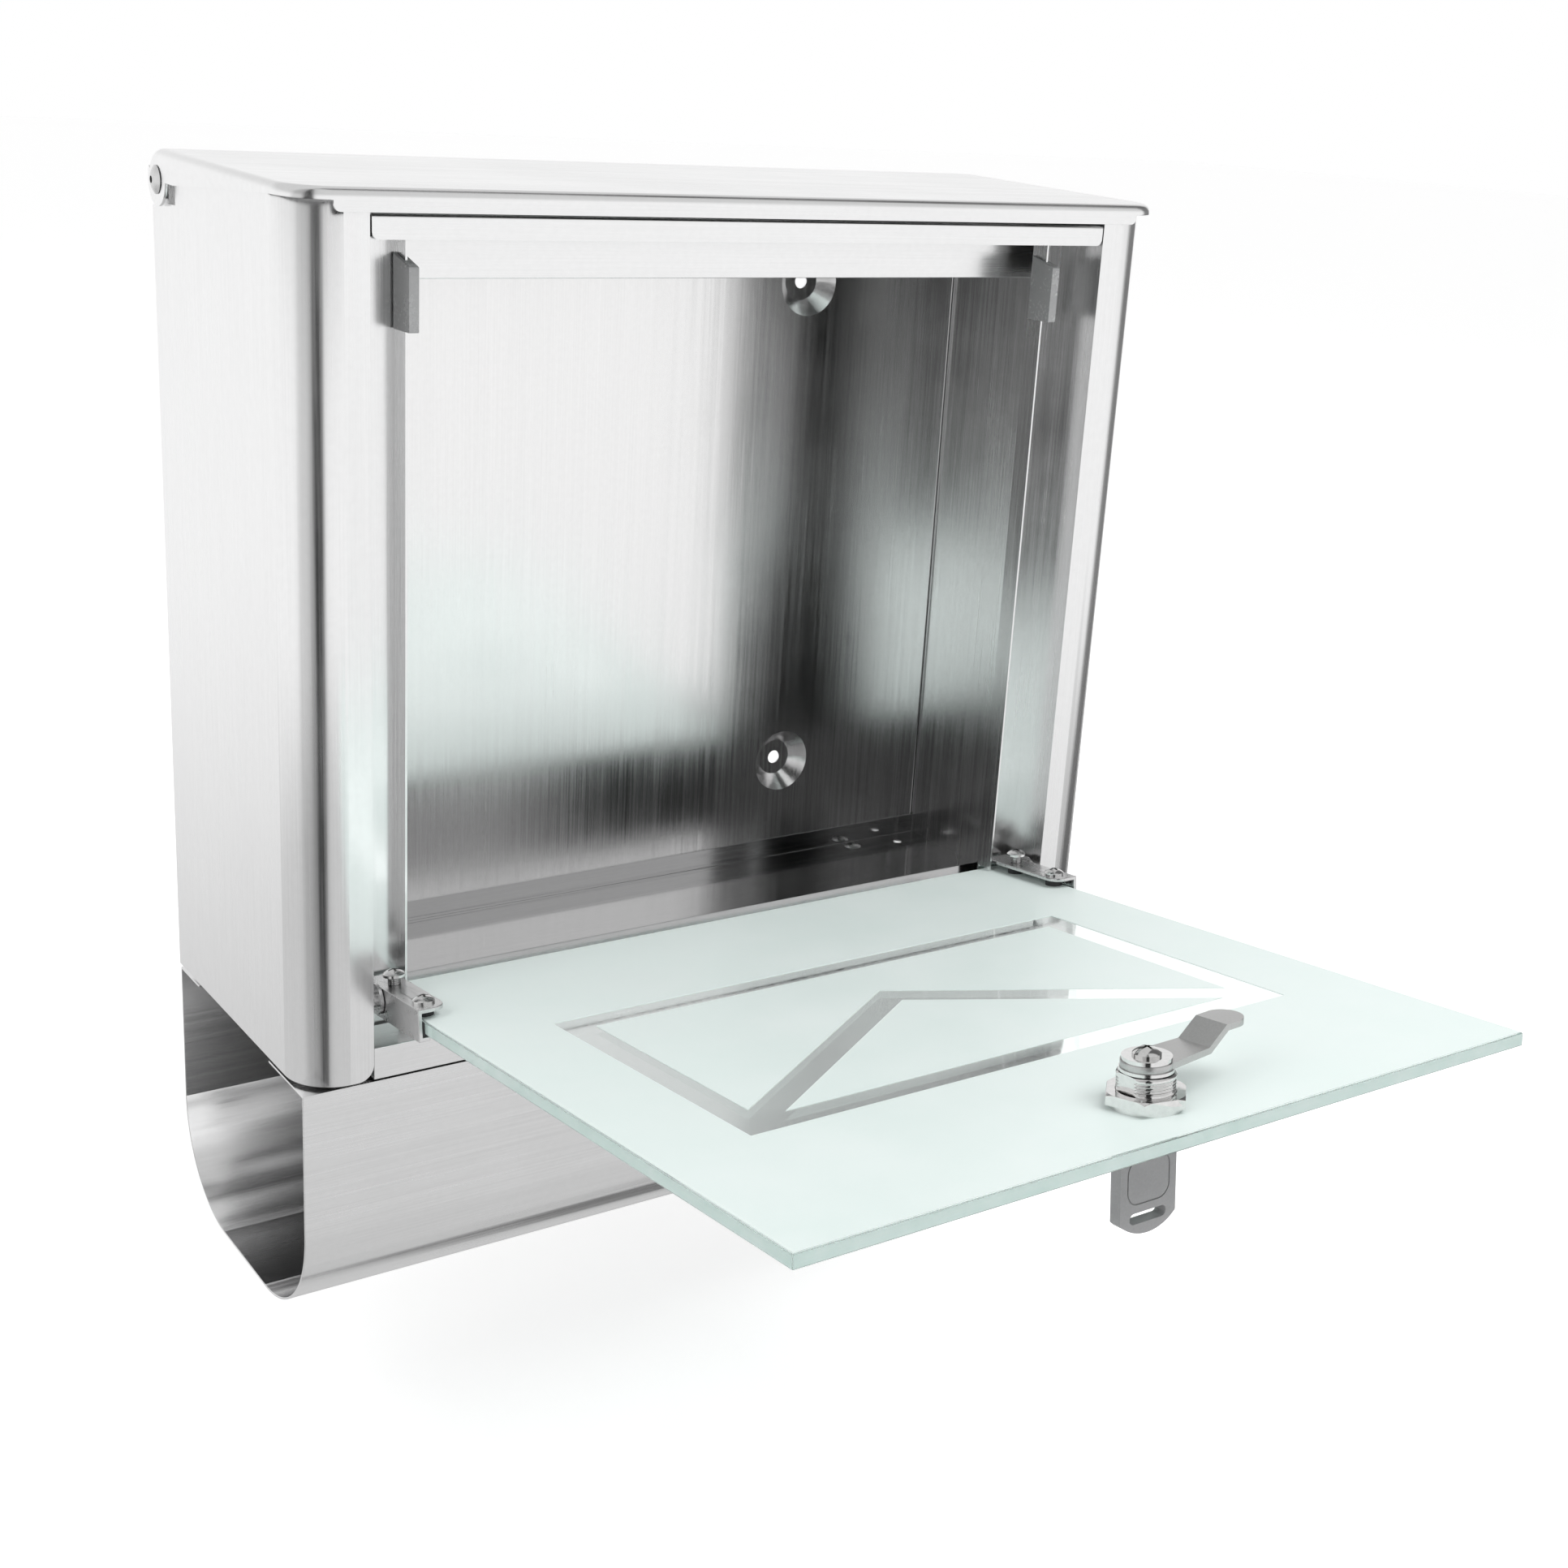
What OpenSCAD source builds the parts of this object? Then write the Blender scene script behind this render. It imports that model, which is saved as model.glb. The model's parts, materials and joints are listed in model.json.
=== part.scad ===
// Wall mounted mailbox: sheet steel casing with a top lid, a glass front door
// that folds down, a cam lock with its key and an open newspaper holder below.
// Millimetres. X across, Y towards the wall, Z up. The origin is the middle of
// the four wall screw holes, in the plane of the wall.

/* [Casing] */
// Width across the two side panels
casing_width = 360; // [320:400]
// Depth from the wall to the front face of the columns
casing_depth = 130; // [115:150]
// Thickness of the folded casing sheet
sheet = 0.8; // [0.6:0.1:1.2]
// Outer radius of the rounded front corners
corner_radius = 17.6; // [8:0.1:22]
// Half width of the opening between the two front columns
opening_half = 153.6; // [140:0.1:158]
// Depth of the recess from the column face to the stop face
stop_recess = 19.4; // [18.5:0.1:20]
// Height of the lower front rail
lower_rail_height = 12.3; // [10:0.1:12.4]
// Height of the underside of the upper front rail
upper_rail_bottom = 292; // [291:0.1:293]
// Height of the top of the upper front rail
upper_rail_top = 300.4; // [299.5:0.1:301]
// Forward depth of the inner flange along the stop face
stop_flange = 7.6; // [6:0.1:8]
// Half width between the inner flanges
stop_flange_half = 135.6; // [135:0.1:136]
// Radius of the small rounding at the foot of each column
column_foot_radius = 6; // [1:0.5:8]

/* [Wall fixing] */
// Horizontal spacing of the wall screw holes
hole_spacing_x = 200; // [150:250]
// Vertical spacing of the wall screw holes
hole_spacing_z = 215; // [150:230]
// Height of the lower pair of holes above the casing foot
hole_low = 50; // [40:70]
// Radius of a wall screw hole
hole_radius = 3; // [2.5:0.1:3.5]
// How far the back panel stands off the wall
back_standoff = 6.3; // [5:0.1:8]
// Front radius of a pressed screw dimple
dimple_radius = 14; // [12:0.1:16]

/* [Lid] */
// Distance of the lid pivot from the wall
lid_pivot_from_wall = 11; // [10.8:0.1:12]
// Height of the lid pivot above the casing foot
lid_pivot_height = 301.5; // [301:0.1:302]
// Outer radius of the lid bend round its pivot
lid_bend_radius = 10.5; // [10:0.1:10.6]
// Fall of the lid towards the front, degrees
lid_fall = 1.9; // [1.5:0.1:2]
// Thickness of the lid sheet
lid_sheet = 1.0; // [0.8:0.1:1.2]
// Front overhang of the lid beyond the columns
lid_overhang = 3.2; // [3:0.1:5]
// Half width over the lid skirts
lid_half_width = 182; // [181.8:0.1:183]
// Plan radius of the lid's front corners
lid_corner_radius = 15; // [12:0.5:16]
// Outer radius of the bend between lid top and skirt
lid_edge_radius = 3.5; // [2.5:0.1:3.8]
// Wrap of the rear bend round the pivot, degrees
lid_wrap = 65; // [40:65]

/* [Door] */
// Width of the glass
glass_width = 294; // [280:296]
// Length of the glass from the hinge edge to the free edge
glass_length = 271.3; // [260:0.1:273]
// Thickness of the glass with its satin layer
glass_thickness = 4.8; // [4:0.1:5]
// Thickness of the satin layer on the inner face
satin_layer = 0.2; // [0.1:0.1:0.3]
// Upward tilt of the open door above level, degrees
door_tilt = 7; // [7:1:20]
// Door pivot in front of the wall
door_pivot_from_wall = 124.5; // [124.4:0.1:124.8]
// Door pivot above the casing foot
door_pivot_height = 29; // [28.9:0.1:29.2]
// Door pivot from the hinge edge of the glass
door_pivot_inset = 12.4; // [12:0.1:12.6]
// Door pivot above the inner face of the glass
door_pivot_rise = 0; // [-0.1:0.1:0.1]
// Half width of the clear envelope figure
figure_half = 112; // [90:120]
// Start of the clear figure from the hinge edge
figure_start = 73.8; // [60:0.1:90]
// End of the clear figure from the hinge edge
figure_end = 198; // [180:0.1:205]
// Width of the clear lines of the figure
figure_line = 10.8; // [6:0.1:14]
// Point of the envelope flap from the hinge edge
figure_point = 116; // [100:150]

/* [Lock] */
// Lock axis from the hinge edge of the glass
lock_place = 246.4; // [240:0.1:248]
// Width across the flats of the lock nut
nut_flats = 24; // [22:0.5:25]
// Radius of the threaded lock barrel
barrel_radius = 9.3; // [9:0.1:9.5]
// Reach of the cam from the lock axis to its tip
cam_reach = 42.5; // [38:0.1:42.6]
// Thickness of the cam
cam_thickness = 2.2; // [1.6:0.1:2.4]
// Angle of the cam from the pivot line when unlocked, degrees
cam_rest = 6; // [0:8]
// Width of the key bow
bow_width = 23; // [18:26]
// Length of the key bow
bow_length = 28.5; // [22:0.5:32]
// Thickness of the key bow
bow_thickness = 4.5; // [3:0.1:5]

/* [Newspaper holder] */
// Radius of the two bends of the holder
holder_bend = 42; // [30:60]
// Height of the holder from its top flanges to its lowest point
holder_height = 98.8; // [80:0.1:110]
// Gap between the casing foot and the holder
holder_gap = 1.2; // [0.8:0.1:2]

/* [Hidden] */

t = sheet;
hw = casing_width / 2;
dp = casing_depth;
xo = opening_half;
fine = 96;
small = 48;
eps = 0.01;
origin_height = hole_low + hole_spacing_z / 2;
stop_y = -(dp - stop_recess);
flange_x = stop_flange_half;
flange_front = stop_y - stop_flange;
flange_foot = 28.9;
keeper_y = -108.6;
rail_top_back = -118;
baffle_top = 306.8;
back_front = -(back_standoff + t);
floor_low = 3.2;
floor_wall_y = -104;
floor_wall_top = 27;
floor_rear_top = 12.7;
baffle_y = -102;
baffle_low = 277;
lid_y = -lid_pivot_from_wall;
lid_z = lid_pivot_height;
lid_run = dp + lid_overhang - lid_pivot_from_wall;
lid_inside = lid_bend_radius - lid_sheet;
side_arc = lid_inside - 0.9;
pin_radius = 2;
pin_play = 0.06;
lid_pin = 2.45;
lid_play = 0.05;
ear_radius = 9;
skirt_rear = -0.34;
skirt_front = 6.6;
lip_low = 3.05;
bracket_web_in = glass_width / 2 + 1;
bracket_sheet = 1.5;
bracket_web_out = bracket_web_in + bracket_sheet;
bracket_flange_in = 138;
bracket_lip_in = 145.3;
bracket_front = 46.5;
flange_low = 3;
flange_high = flange_low + bracket_sheet;
lip_top = -glass_thickness - 0.8;
lip_bottom = lip_top - bracket_sheet;
screw_x = 143.8;
screw_rear = 14;
screw_front = 38.5;
screw_lift = 3.1;
head_low = -8.4;
gasket_low = -5.4;
barrel_top = 10.9;
nut_low = 1.5;
nut_top = 5;
bore_radius = 6.25;
plug_radius = 6.2;
disc_low = 11.2;
cam_low = 12.2;
cam_top = cam_low + cam_thickness;
cam_rise = 5.6;
washer_top = cam_top + 1.4;
square_half = 3.5;
bow_top = -12.7;
bow_low = bow_top - bow_length;
rail_half = xo - 0.6;
rail_bend = 2;
rail_step = -dp + rail_bend;
stop_top = 304.5;
back_bend = 1.6;
back_flange_top = 289.2;
holder_top = -holder_gap;
holder_low = holder_top - holder_height;
holder_front = -(dp - 1);
holder_back = -1;
spacer_x = 140;
spacer_front = -97;
spacer_back = -13;

// Moves shapes measured from the casing foot to the origin between the screw holes
module from_foot() {
  translate([0, 0, -origin_height]) children();
}

// Frame of the open door: x across, -y along the glass from its hinge edge, z off its inner face
module on_door() {
  from_foot() translate([0, -door_pivot_from_wall, door_pivot_height]) rotate([-door_tilt, 0, 0])
    translate([0, door_pivot_inset, -door_pivot_rise]) children();
}

// Frame of the lid: its pivot line, turned by the fall of the lid
module on_lid() {
  from_foot() translate([0, lid_y, lid_z]) rotate([lid_fall, 0, 0]) children();
}

// Frame of the lock axis on the door
module on_lock() {
  on_door() translate([0, -lock_place, 0]) children();
}

// Frame of the cam and the parts keyed to it
module on_cam() {
  on_lock() rotate([0, 0, cam_rest]) children();
}

// Extrudes a y,z outline along x between two places
module along_x(x1, x2) {
  translate([x1, 0, 0]) rotate([90, 0, 90]) linear_extrude(x2 - x1) children();
}

// A block given by its two opposite corners
module block(a, b) {
  translate(a) cube([b[0] - a[0], b[1] - a[1], b[2] - a[2]]);
}

// A disc or bar round the x axis
module bar_x(x1, x2, r, f = small) {
  translate([x1, 0, 0]) rotate([0, 90, 0]) cylinder(h = x2 - x1, r = r, $fn = f);
}

// Quarter of a ring in 2D, opening towards the given signs
module quarter_ring(ro, ri, sx, sy) {
  intersection() {
    difference() {
      circle(r = ro, $fn = fine);
      circle(r = ri, $fn = fine);
    }
    translate([sx > 0 ? 0 : -ro - 1, sy > 0 ? 0 : -ro - 1]) square([ro + 1, ro + 1]);
  }
}

// Low domed head, flat face at z = 0, growing upwards
module dome(r, h) {
  big = (r * r + h * h) / (2 * h);
  intersection() {
    translate([0, 0, h - big]) sphere(r = big, $fn = fine);
    cylinder(h = h + 1, r = r + 1, $fn = fine);
  }
}

// Cross slot cut from a screw head whose top is at the given height
module cross_slot(top, size, deep) {
  block([-size / 2, -0.45, top - deep], [size / 2, 0.45, top + 1]);
  block([-0.45, -size / 2, top - deep], [0.45, size / 2, top + 1]);
}

// Plan of the side panel, corner bend, column face and return, right hand
module panel_plan() {
  translate([hw - t, -(dp - corner_radius)]) square([t, dp - corner_radius]);
  translate([hw - corner_radius, -(dp - corner_radius)])
    quarter_ring(corner_radius, corner_radius - t, 1, -1);
  translate([xo, -dp]) square([hw - corner_radius - xo, t]);
  translate([xo, -dp]) square([t, stop_recess + t]);
}

// Stop face with its forward flange, right hand
module stop_face() {
  block([flange_x, stop_y, t], [xo + t, stop_y + t, stop_top]);
  block([flange_x, flange_front, flange_foot], [flange_x + t, stop_y + t, upper_rail_bottom - 1]);
}

// Side outline of the casing in y,z: sloping top edge and a round over the lid pivot
module side_outline() {
  polygon([[0, 0], [-(dp + 1), 0],
    [-(dp + 1), lid_z + side_arc - 0.3 - (dp + 1 + lid_y) * tan(lid_fall)],
    [lid_y, lid_z + side_arc - 0.3], [lid_y, lid_z - 5], [lid_y + 6, lid_z - 8.5],
    [0, lid_z - 9.3]]);
  translate([lid_y, lid_z]) circle(r = side_arc, $fn = fine);
}

module side_panel() {
  color("silver") from_foot() difference() {
    union() {
      intersection() {
        linear_extrude(320) panel_plan();
        along_x(xo - 5, hw + 5) side_outline();
      }
      stop_face();
    }
    // foot rounding of the column
    translate([xo, 0, 0]) rotate([90, 0, 0]) translate([0, 0, dp - 4]) linear_extrude(6)
      difference() {
        translate([-1, -1]) square([column_foot_radius + 1, column_foot_radius + 1]);
        translate([column_foot_radius, column_foot_radius])
          circle(r = column_foot_radius, $fn = small);
      }
    // relief in front of the lid ear
    block([hw - 3, -24, 293.8], [hw + 3, -17.5, 300.5]);
    // lid pivot hole
    translate([0, lid_y, lid_z]) bar_x(hw - 3, hw + 3, lid_pin + lid_play);
    // door pivot hole
    translate([0, -door_pivot_from_wall, door_pivot_height])
      bar_x(xo - 2, xo + 3, pin_radius + pin_play);
  }
}

module side_panel_right() side_panel();
module side_panel_left() mirror([1, 0, 0]) side_panel();

// Places children at the four wall screw holes, axis towards the wall
module wall_holes() {
  for (x = [-hole_spacing_x / 2, hole_spacing_x / 2])
    for (z = [hole_low, hole_low + hole_spacing_z])
      translate([x, 0, z]) rotate([-90, 0, 0]) children();
}

module back_panel() {
  color("silver") from_foot() {
    difference() {
      union() {
        block([-(hw - t - back_bend), back_front, floor_low],
          [hw - t - back_bend, back_front + t, lid_z + 5]);
        block([-(hw - t), back_front, back_flange_top], [hw - t, back_front + t, lid_z + 5]);
        for (s = [0, 1]) mirror([s, 0, 0]) translate([0, 0, floor_low])
          linear_extrude(back_flange_top - floor_low) {
            translate([hw - t - back_bend, back_front + back_bend])
              quarter_ring(back_bend, back_bend - t, 1, -1);
            translate([hw - 2 * t, back_front + back_bend])
              square([t, -back_front - back_bend]);
          }
      }
      wall_holes() translate([0, 0, back_front - 2])
        cylinder(h = back_standoff, r = dimple_radius + 1.4, $fn = fine);
    }
    wall_holes() rotate_extrude($fn = fine)
      polygon([[dimple_radius, back_front], [8, -t], [hole_radius, -t], [hole_radius, 0],
        [8.6, 0], [dimple_radius + 0.6, back_front + t], [dimple_radius + 1.4, back_front + t],
        [dimple_radius + 1.4, back_front]]);
  }
}

module floor_pan() {
  color("silver") from_foot() difference() {
    union() {
      block([-(hw - t), floor_wall_y, floor_low], [hw - t, back_front, floor_low + t]);
      block([-(hw - t), floor_wall_y, floor_low], [hw - t, floor_wall_y + t, floor_wall_top]);
      block([-(hw - t), back_front - t, floor_low], [hw - t, back_front, floor_rear_top]);
    }
    for (s = [-1, 1]) {
      translate([s * 163.6, -17, 0]) cylinder(h = 10, r = 2, $fn = small);
      for (y = [spacer_front, spacer_back])
        translate([s * spacer_x, y, 0]) cylinder(h = 10, r = 2, $fn = small);
    }
  }
}

// Face of a front rail between two heights, short of the columns, with rounded lower corners
module rail_face(low, high) {
  difference() {
    block([-rail_half, -dp, low], [rail_half, -dp + t, high]);
    for (s = [0, 1]) mirror([s, 0, 0])
      translate([rail_half, -dp - 1, low]) rotate([-90, 0, 0]) linear_extrude(3) difference() {
        translate([-2.5, -2.5]) square([3.5, 3.5]);
        translate([-2.5, -2.5]) circle(r = 2.5, $fn = small);
      }
  }
}

module upper_front_rail() {
  color("silver") from_foot() {
    rail_face(upper_rail_bottom, upper_rail_top - rail_bend);
    // bend along the top
    along_x(-rail_half, rail_half) translate([rail_step, upper_rail_top - rail_bend])
      quarter_ring(rail_bend, rail_bend - t, -1, 1);
    block([-rail_half + 2.5, -dp, upper_rail_bottom],
      [rail_half - 2.5, stop_y, upper_rail_bottom + t]);
    block([-xo, rail_step, upper_rail_bottom], [xo, stop_y, upper_rail_bottom + t]);
    block([-130, stop_y - 1, upper_rail_bottom], [130, keeper_y, upper_rail_bottom + t]);
    block([-130, keeper_y - t, upper_rail_bottom], [130, keeper_y, upper_rail_bottom + 4]);
    // top flange, and its riser up to the flange of the baffle
    block([-xo, rail_step, upper_rail_top - t], [xo, rail_top_back + t, upper_rail_top]);
    block([-xo, rail_top_back, upper_rail_top - t], [xo, rail_top_back + t, baffle_top - t]);
  }
}

module slot_baffle() {
  color("silver") from_foot() {
    block([-(hw - t), baffle_y, baffle_low], [hw - t, baffle_y + t, baffle_top]);
    block([-(hw - t), baffle_y, baffle_low], [hw - t, baffle_y + 5, baffle_low + t]);
    block([-xo, rail_top_back, baffle_top - t], [xo, baffle_y + t, baffle_top]);
  }
}

module lower_front_rail() {
  color("silver") from_foot() {
    block([-xo, -dp, 0], [xo, -dp + t, lower_rail_height]);
    block([-xo, -dp, lower_rail_height - t], [xo, -112, lower_rail_height]);
    block([-xo, -dp, 0], [xo, -116, t]);
  }
}

// Soft clip pushed on the front edge of the right inner flange
module edge_clip() {
  nose = -(door_pivot_from_wall - 0.3);
  color("gray") from_foot() difference() {
    block([flange_x - 1.4, nose, 262], [flange_x + t + 1.4, stop_y - 0.9, 286.5]);
    block([flange_x - 0.03, flange_front - 0.03, 250], [flange_x + t + 0.03, stop_y, 300]);
    // slanted top
    translate([120, nose, 283]) rotate([16, 0, 0]) translate([0, -20, 0]) cube([30, 45, 20]);
    // chamfered foot of the nose
    translate([120, nose - 1, 260]) rotate([-30, 0, 0]) translate([0, -6, -4]) cube([30, 12, 5]);
  }
}

module edge_clip_right() edge_clip();
module edge_clip_left() mirror([1, 0, 0]) edge_clip();

module newspaper_holder() {
  r = holder_bend;
  zc = holder_low + r;
  color("silver") from_foot() difference() {
    along_x(-hw, hw) {
      translate([holder_front, zc]) square([t, holder_top - zc]);
      translate([holder_back - t, zc]) square([t, holder_top - zc]);
      translate([holder_front + r, zc]) quarter_ring(r, r - t, -1, -1);
      translate([holder_back - r, zc]) quarter_ring(r, r - t, 1, -1);
      translate([holder_front + r, holder_low]) square([holder_back - holder_front - 2 * r, t]);
      translate([holder_front, holder_top - t]) square([33, t]);
      translate([holder_back - 21, holder_top - t]) square([21, t]);
    }
    for (s = [-1, 1]) for (y = [spacer_front, spacer_back])
      translate([s * spacer_x, y, holder_top - 3]) cylinder(h = 6, r = 2, $fn = small);
  }
}

// Places children at the four fixings between holder and floor pan
module holder_fixings() {
  for (s = [-1, 1]) for (y = [spacer_front, spacer_back]) translate([s * spacer_x, y, 0])
    children();
}

module holder_spacers() {
  color("gray") from_foot() holder_fixings() translate([0, 0, holder_top]) difference() {
    cylinder(h = floor_low - holder_top, r = 5, $fn = small);
    translate([0, 0, -1]) cylinder(h = floor_low - holder_top + 2, r = 2, $fn = small);
  }
}

module holder_rivets() {
  color("silver") from_foot() holder_fixings() {
    translate([0, 0, holder_top - t]) cylinder(h = floor_low + 2 * t - holder_top, r = 1.95, $fn = small);
    translate([0, 0, floor_low + t]) dome(4, 1.3);
    translate([0, 0, holder_top - t]) rotate([180, 0, 0]) dome(4, 1.3);
  }
}

module lid_pivot_rivets() {
  color("silver") from_foot() for (s = [0, 1]) mirror([s, 0, 0]) translate([0, lid_y, lid_z])
    difference() {
      union() {
        bar_x(hw - t, lid_half_width + 0.3, lid_pin);
        translate([lid_half_width + 0.3, 0, 0]) rotate([0, 90, 0]) dome(5, 1.7);
        bar_x(hw - t - 1.6, hw - t, 3.4);
      }
      bar_x(lid_half_width - 1.5, lid_half_width + 5, 1.25);
    }
}

module lid_pivot_washers() {
  color("gray") from_foot() for (s = [0, 1]) mirror([s, 0, 0]) translate([0, lid_y, lid_z])
    difference() {
      bar_x(hw, hw + 0.6, 6.5);
      bar_x(hw - 1, hw + 2, lid_pin + lid_play);
    }
}

module door_pivot_pins() {
  color("silver") from_foot() for (s = [0, 1]) mirror([s, 0, 0])
    translate([0, -door_pivot_from_wall, door_pivot_height]) {
      bar_x(bracket_web_in + 0.1, xo + t, pin_radius);
      bar_x(bracket_web_out + 0.3, bracket_web_out + 1.5, 5.75);
      bar_x(bracket_web_out + 0.4, xo, 3);
      bar_x(xo + t, xo + t + 1.4, 4);
    }
}

// Edge section of the lid: flat, bend and skirt down to the given level
module lid_edge(low) {
  r = lid_edge_radius;
  translate([0, lid_bend_radius - lid_sheet]) square([lid_corner_radius - r, lid_sheet]);
  translate([lid_corner_radius - r, lid_bend_radius - r]) quarter_ring(r, r - lid_sheet, 1, 1);
  translate([lid_corner_radius - lid_sheet, low]) square([lid_sheet, lid_bend_radius - r - low]);
}

// Section across the lid, radius against place along the pivot line
module lid_cross() {
  r = lid_edge_radius;
  w = lid_half_width;
  translate([lid_bend_radius - lid_sheet, -(w - r)]) square([lid_sheet, 2 * (w - r)]);
  translate([lid_bend_radius - r, w - r]) quarter_ring(r, r - lid_sheet, 1, 1);
  translate([lid_bend_radius - r, -(w - r)]) quarter_ring(r, r - lid_sheet, 1, -1);
  for (s = [0, 1]) mirror([0, s])
    translate([lid_bend_radius - r - 1.2, w - lid_sheet]) square([1.2, lid_sheet]);
}

module lid() {
  w = lid_half_width;
  rc = lid_corner_radius;
  r = lid_edge_radius;
  mid = w - rc;
  run = lid_run - rc;
  color("silver") on_lid() difference() {
    union() {
      // flat middle
      block([-mid, -run, lid_inside], [mid, 0, lid_bend_radius]);
      // side strips with their bends
      for (s = [0, 1]) mirror([s, 0, 0]) {
        translate([mid, 0, 0]) rotate([90, 0, 0]) linear_extrude(run)
          lid_edge(lid_bend_radius - r - 0.2);
        // skirt and ear
        along_x(w - lid_sheet, w) {
          polygon([[0, lid_bend_radius - r], [-run, lid_bend_radius - r], [-run, skirt_front],
            [-17, skirt_rear], [0, skirt_rear]]);
          circle(r = lid_bend_radius - r - 0.4, $fn = fine);
          difference() {
            circle(r = ear_radius, $fn = fine);
            polygon([[0, 0], [-1, 20], [20, 20], [20, 20 * tan(92 - lid_wrap)]]);
            translate([-20, lid_bend_radius - r]) square([20, 10]);
          }
        }
      }
      // front strip
      translate([-mid, -run, 0]) rotate([90, 0, 90]) linear_extrude(2 * mid) mirror([1, 0])
        lid_edge(lip_low);
      // front corners
      translate([mid, -run, 0]) rotate([0, 0, -90]) rotate_extrude(angle = 90, $fn = fine)
        lid_edge(skirt_front);
      translate([-mid, -run, 0]) rotate([0, 0, 180]) rotate_extrude(angle = 90, $fn = fine)
        lid_edge(skirt_front);
      // rear bend round the pivot line
      rotate([0, -90, 0]) rotate_extrude(angle = lid_wrap, $fn = fine) lid_cross();
    }
    for (s = [0, 1]) mirror([s, 0, 0]) {
      bar_x(w - 3, w + 3, lid_pin + lid_play);
      // rounded ends of the hanging lip
      translate([mid, -lid_run + 3, lip_low]) rotate([90, 0, 0]) linear_extrude(6) difference() {
        translate([-2.5, -1]) square([3.5, 3.5]);
        translate([-2.5, 2.5]) circle(r = 2.5, $fn = small);
      }
    }
  }
}

module door_glass() {
  color("lightcyan") on_door() difference() {
    translate([-glass_width / 2, -glass_length, -glass_thickness])
      cube([glass_width, glass_length, glass_thickness - satin_layer]);
    translate([0, -lock_place, -10]) cylinder(h = 20, r = barrel_radius + 0.5, $fn = fine);
  }
}

// Clear lines of the envelope figure in 2D
module figure_lines() {
  span = figure_end - figure_start;
  c = figure_line;
  difference() {
    translate([-figure_half, -figure_end]) square([2 * figure_half, span]);
    translate([-figure_half + c, -figure_end + c]) square([2 * (figure_half - c), span - 2 * c]);
  }
  for (s = [0, 1]) mirror([s, 0]) intersection() {
    translate([0, -figure_end]) square([figure_half, span]);
    polygon([[-1, -figure_point + c * 0.62], [-1, -figure_point - c * 0.62],
      [figure_half + 1, -figure_end - c * 0.32], [figure_half + 1, -figure_end + c * 0.94]]);
  }
}

module satin_layer_film() {
  color("azure") on_door() translate([0, 0, -satin_layer]) linear_extrude(satin_layer) difference() {
    translate([-glass_width / 2 + 0.6, -glass_length + 0.6])
      square([glass_width - 1.2, glass_length - 1.2]);
    figure_lines();
    translate([0, -lock_place]) circle(r = barrel_radius + 0.5, $fn = fine);
  }
}

// Clamp bracket of the right hand side of the glass
module hinge_bracket() {
  a = door_pivot_inset;
  color("silver") on_door() difference() {
    union() {
      translate([bracket_web_in, 0, 0]) rotate([90, 0, 90]) linear_extrude(bracket_sheet)
        polygon([[-(a - 11.6), flange_high], [-(a - 13.4), 0], [-(a - 14.57), lip_bottom],
          [-bracket_front, lip_bottom], [-bracket_front, flange_high]]);
      translate([0, 0, flange_low]) linear_extrude(bracket_sheet) difference() {
        translate([bracket_flange_in, -bracket_front])
          square([bracket_web_out - bracket_flange_in, bracket_front - (a - 11.6)]);
        difference() {
          translate([bracket_flange_in - 1, -bracket_front - 1]) square([7, 7]);
          translate([bracket_flange_in + 6, -bracket_front + 6]) circle(r = 6, $fn = small);
        }
      }
      block([bracket_lip_in, -bracket_front, lip_bottom], [bracket_web_out, -(a - 9), lip_top]);
    }
    for (y = [screw_rear, screw_front]) translate([screw_x, -y, 0])
      cylinder(h = 10, r = 2.05, $fn = small);
    translate([0, -a, door_pivot_rise])
      bar_x(bracket_web_in - 2, bracket_web_out + 2, pin_radius + pin_play);
  }
}

module hinge_bracket_right() hinge_bracket();
module hinge_bracket_left() mirror([1, 0, 0]) hinge_bracket();

module bracket_liners() {
  color("dimgray") on_door() for (s = [0, 1]) mirror([s, 0, 0]) {
    block([glass_width / 2, -bracket_front + 0.5, lip_top], [bracket_web_in, -18.5, -0.5]);
    block([bracket_lip_in, -bracket_front + 0.5, lip_top], [bracket_web_in, -5, -glass_thickness]);
  }
}

// Places children at the four clamp screws, second set raised
module clamp_places() {
  for (s = [-1, 1]) translate([s * screw_x, 0, 0]) {
    translate([0, -screw_front, 0]) children(0);
    translate([0, -screw_rear, 0]) children(1);
  }
}

module clamp_pads() {
  color("dimgray") on_door() clamp_places() {
    cylinder(h = flange_low, r = 3.5, $fn = small);
    cylinder(h = flange_low, r = 3.5, $fn = small);
  }
}

// Pan head clamp screw with its head raised off the flange
module clamp_screw(lift) {
  difference() {
    union() {
      translate([0, 0, flange_low]) cylinder(h = bracket_sheet + lift + 0.5, r = 2, $fn = small);
      translate([0, 0, flange_high + lift]) cylinder(h = 0.9, r = 4, $fn = small);
      translate([0, 0, flange_high + lift + 0.9]) dome(4, 1.7);
    }
    cross_slot(flange_high + lift + 2.6, 4.2, 1.3);
  }
}

module clamp_screws() {
  color("silver") on_door() clamp_places() {
    clamp_screw(0);
    clamp_screw(screw_lift);
  }
}

module lock_gasket() {
  color("black") on_lock() translate([0, 0, gasket_low]) difference() {
    cylinder(h = -glass_thickness - gasket_low, r = 12, $fn = fine);
    translate([0, 0, -1]) cylinder(h = 4, r = barrel_radius + 0.2, $fn = fine);
  }
}

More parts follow.
